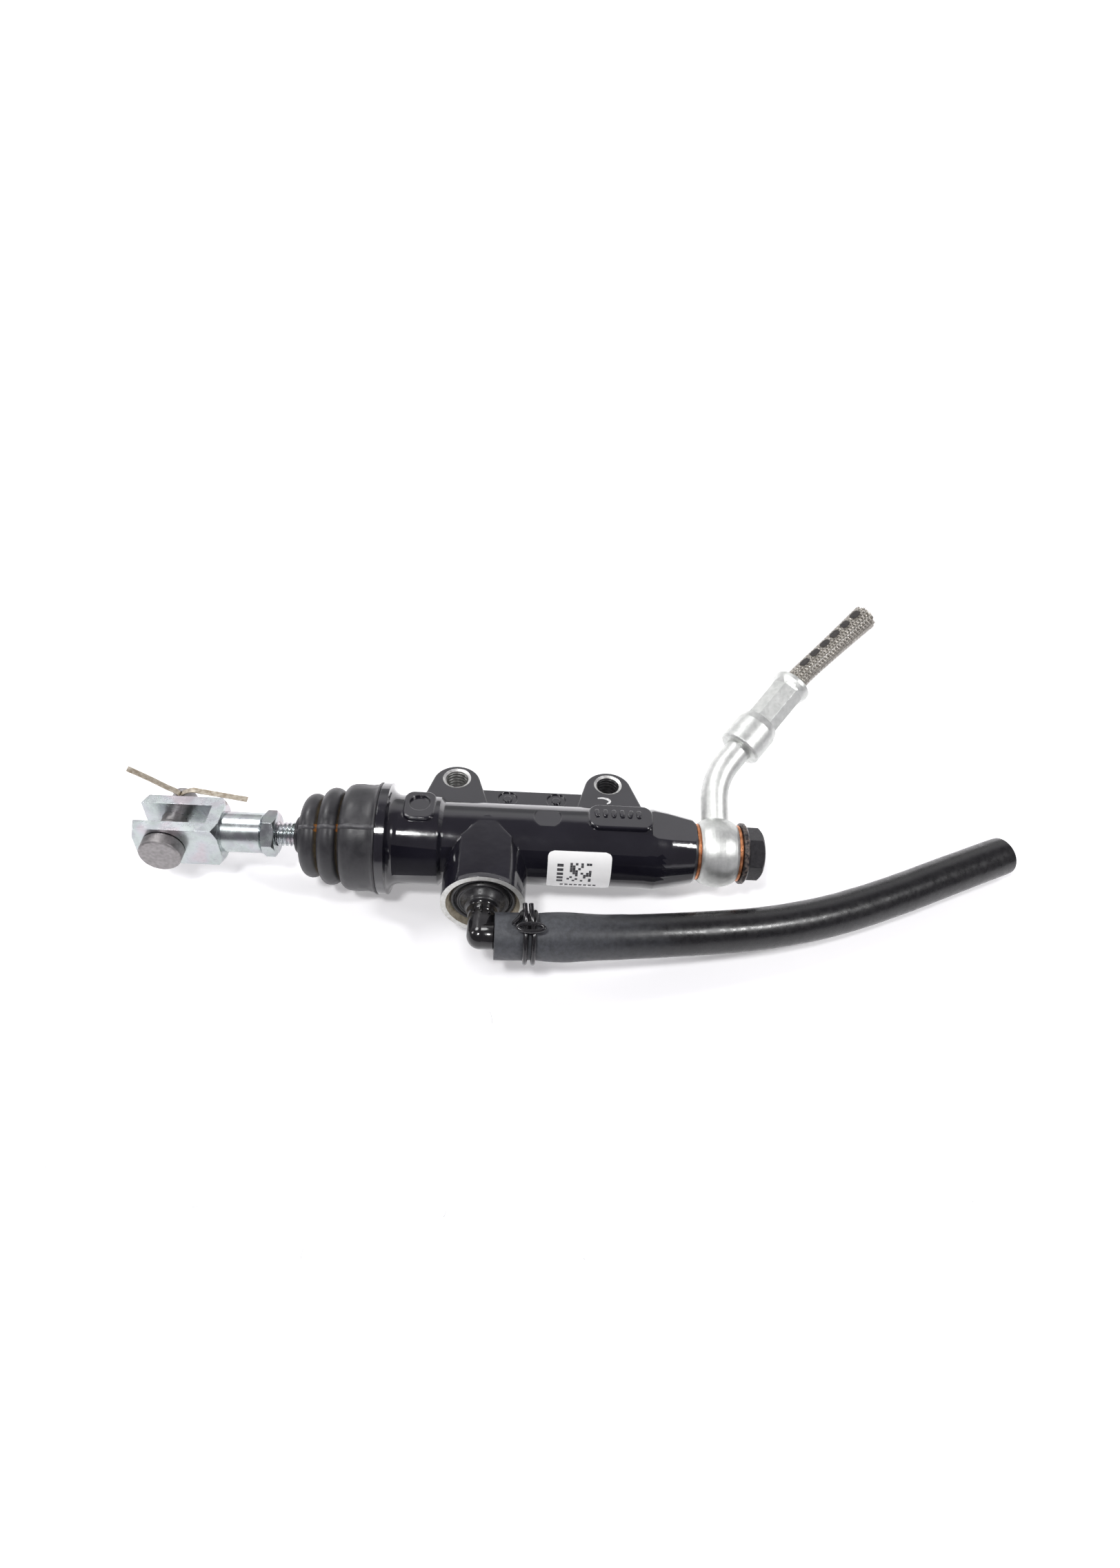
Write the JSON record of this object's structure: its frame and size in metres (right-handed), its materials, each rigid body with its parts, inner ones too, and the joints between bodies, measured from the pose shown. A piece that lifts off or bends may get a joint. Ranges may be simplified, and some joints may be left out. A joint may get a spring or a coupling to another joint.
{
  "type": "brake master cylinder",
  "caption": "Pushrod-operated hydraulic master cylinder with clevis, dust boot, swivelling fluid inlet hose and banjo outlet line.",
  "frame": {"origin": "midway between the two mounting holes, on the mounting face of the ears", "axes": "+X along the bore towards the banjo bolt, +Y from the bore towards the mounting holes, +Z out of the mounting face"},
  "size_m": [0.2298, 0.0967, 0.0509],
  "materials": {
    "cast_black": "gloss black baked enamel on cast aluminium",
    "boot_rubber": "matte moulded rubber",
    "zinc_steel": "bright zinc plate",
    "plain_steel": "satin plain steel",
    "spring_steel": "drawn spring wire",
    "cotter_steel": "soft steel wire",
    "anodised": "turned aluminium",
    "seal_rubber": "smooth moulded rubber",
    "elbow_plastic": "moulded nylon",
    "hose_rubber": "extruded rubber hose",
    "clip_steel": "black coated spring wire",
    "copper": "bare copper",
    "galvanised": "satin zinc plate",
    "clear_cover": "clear hose cover",
    "braid": "woven stainless wire",
    "liner": "fluoropolymer tube",
    "bolt_black": "black oxide steel"
  },
  "bodies": {
    "housing": {"cylinder_body": "cast_black", "dust_boot": "boot_rubber", "bore_circlip": "spring_steel", "pushrod_stop_washer": "plain_steel", "return_spring": "spring_steel", "inlet_grommet": "seal_rubber", "copper_washer_inner": "copper", "copper_washer_outer": "copper", "banjo_eye": "galvanised", "banjo_neck_tube": "galvanised", "crimp_ferrule": "galvanised", "brake_hose_cover": "clear_cover", "brake_hose_braid": "braid", "brake_hose_liner": "liner", "banjo_bolt": "bolt_black"},
    "piston_set": {"piston": "anodised", "secondary_cup": "seal_rubber", "primary_cup": "seal_rubber", "spring_seat": "plain_steel"},
    "pushrod_set": {"pushrod": "zinc_steel", "locknut": "zinc_steel", "clevis": "zinc_steel"},
    "pin_set": {"clevis_pin": "plain_steel", "cotter_pin": "cotter_steel"},
    "inlet_set": {"inlet_elbow": "elbow_plastic", "feed_hose": "hose_rubber", "hose_clip": "clip_steel"}
  },
  "joints": [
    {"name": "piston_slide", "type": "slide", "parent": "housing", "child": "piston_set", "axis": [1, 0, 0], "range_m": [0, 0.01], "stiffness_N_per_m": 1500, "springref_m": -0.008, "deforming": ["return_spring", "dust_boot"]},
    {"name": "pushrod_tilt", "type": "hinge", "parent": "piston_set", "child": "pushrod_set", "pos_m": [-0.037, -0.0204, -0.0025], "axis": [0, 1, 0], "range_deg": [-2.5, 2.5]},
    {"name": "pin_spin", "type": "hinge", "parent": "pushrod_set", "child": "pin_set", "pos_m": [-0.0885, -0.0204, -0.0025], "axis": [0, 1, 0], "continuous": true},
    {"name": "inlet_swivel", "type": "hinge", "parent": "housing", "child": "inlet_set", "pos_m": [-0.0106, -0.049, -0.0025], "axis": [0, 1, 0], "range_deg": [-60, 60]}
  ]
}
